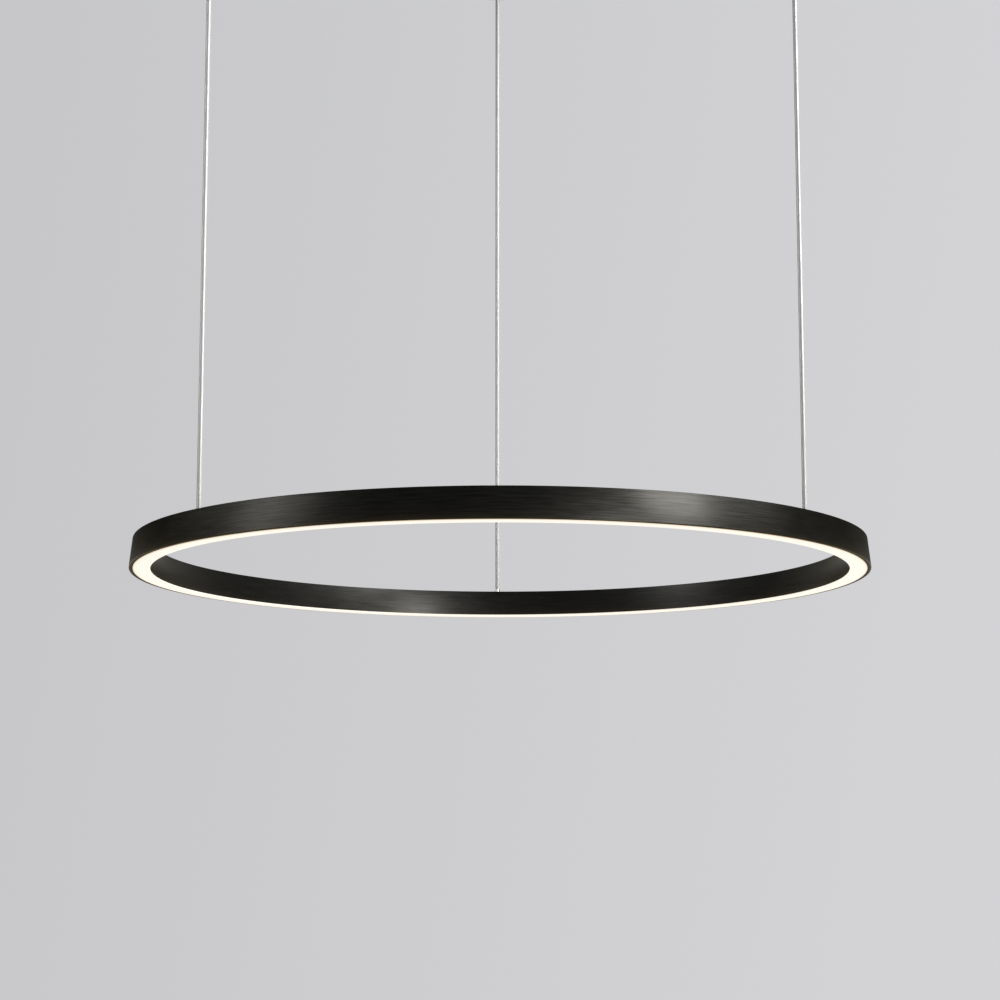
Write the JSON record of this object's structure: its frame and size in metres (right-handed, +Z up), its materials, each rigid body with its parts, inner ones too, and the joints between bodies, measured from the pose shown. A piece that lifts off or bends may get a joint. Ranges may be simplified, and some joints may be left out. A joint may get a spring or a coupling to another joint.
{
  "type": "led ring chandelier",
  "caption": "Level ring lamp with black leaning walls and a warm white underside, hung on upright clear cables from ceiling cups and a driver canopy.",
  "frame": {"origin": "on the ceiling plane, on the ring's axis", "axes": "+Z up into the ceiling, +Y towards the back cable and its canopy, the left and right cables stand in front of X"},
  "size_m": [0.7999, 0.8603, 0.875],
  "materials": {
    "ring_black": "black anodised, brushed round the ring",
    "opal": "opal, lit warm white from behind",
    "board_white": "white solder mask",
    "phosphor": "yellow phosphor",
    "zinc_steel": "zinc plated",
    "mill_aluminium": "mill finish",
    "nickel": "turned, nickel plated",
    "ball_steel": "polished spring and bearing steel",
    "cable_clear": "clear jacket over a pale braid",
    "cover_black": "satin black",
    "collar_black": "black, knurled",
    "driver_white": "moulded, fine spark texture",
    "nylon_white": "moulded nylon",
    "grommet_rubber": "soft, matt",
    "brass": "turned",
    "lead_white": "silicone insulation",
    "lead_green": "green insulation with a yellow stripe"
  },
  "bodies": {
    "ceiling": {"suspension_cable_left": "cable_clear", "gripper_body_left": "nickel", "release_spring_left": "ball_steel", "suspension_cable_right": "cable_clear", "gripper_body_right": "nickel", "release_spring_right": "ball_steel", "suspension_cable_back": "cable_clear", "gripper_body_back": "nickel", "release_spring_back": "ball_steel", "ceiling_plate_left": "zinc_steel", "ceiling_plate_right": "zinc_steel", "canopy_plate": "zinc_steel", "gripper_bridge": "zinc_steel", "bridge_screws": "zinc_steel", "led_driver": "driver_white", "driver_screws": "zinc_steel", "mains_terminal": "nylon_white", "mains_grommet": "grommet_rubber", "earth_screw": "brass", "output_leads": "lead_white", "mains_leads": "lead_white", "earth_lead": "lead_green"},
    "ring": {"ring_housing": "ring_black", "diffuser": "opal", "led_board_left": "board_white", "led_board_front": "board_white", "led_board_right": "board_white", "led_chips": "phosphor", "board_screws": "zinc_steel", "joiner_plate": "mill_aluminium", "joiner_screws": "zinc_steel", "link_leads": "lead_white", "feed_terminal": "nylon_white", "feed_leads": "lead_white", "anchor_sleeve_left": "nickel", "anchor_washer_left": "zinc_steel", "anchor_sleeve_right": "nickel", "anchor_washer_right": "zinc_steel", "anchor_sleeve_back": "nickel", "anchor_washer_back": "zinc_steel"},
    "left_cover": {"cup_cover_left": "cover_black", "cover_collar_left": "collar_black"},
    "right_cover": {"cup_cover_right": "cover_black", "cover_collar_right": "collar_black"},
    "canopy": {"canopy_cover": "cover_black", "cover_collar_back": "collar_black"},
    "left_release": {"release_plunger_left": "nickel", "gripper_balls_left": "ball_steel"},
    "right_release": {"release_plunger_right": "nickel", "gripper_balls_right": "ball_steel"},
    "back_release": {"release_plunger_back": "nickel", "gripper_balls_back": "ball_steel"}
  },
  "joints": [
    {"name": "height_adjust", "type": "slide", "parent": "ceiling", "child": "ring", "axis": [0, 0, 1], "range_m": [0, 0.5], "deforming": ["suspension_cable_left", "suspension_cable_right", "suspension_cable_back"]},
    {"name": "left_cover_drop", "type": "slide", "parent": "ceiling", "child": "left_cover", "axis": [0, 0, -1], "range_m": [0, 0.06]},
    {"name": "right_cover_drop", "type": "slide", "parent": "ceiling", "child": "right_cover", "axis": [0, 0, -1], "range_m": [0, 0.06]},
    {"name": "canopy_drop", "type": "slide", "parent": "ceiling", "child": "canopy", "axis": [0, 0, -1], "range_m": [0, 0.12]},
    {"name": "left_release_push", "type": "slide", "parent": "ceiling", "child": "left_release", "axis": [0, 0, 1], "range_m": [0, 0.0022], "stiffness_N_per_m": 600, "springref_m": -0.004, "deforming": ["release_spring_left"]},
    {"name": "right_release_push", "type": "slide", "parent": "ceiling", "child": "right_release", "axis": [0, 0, 1], "range_m": [0, 0.0022], "stiffness_N_per_m": 600, "springref_m": -0.004, "deforming": ["release_spring_right"]},
    {"name": "back_release_push", "type": "slide", "parent": "ceiling", "child": "back_release", "axis": [0, 0, 1], "range_m": [0, 0.0022], "stiffness_N_per_m": 600, "springref_m": -0.004, "deforming": ["release_spring_back"]}
  ]
}
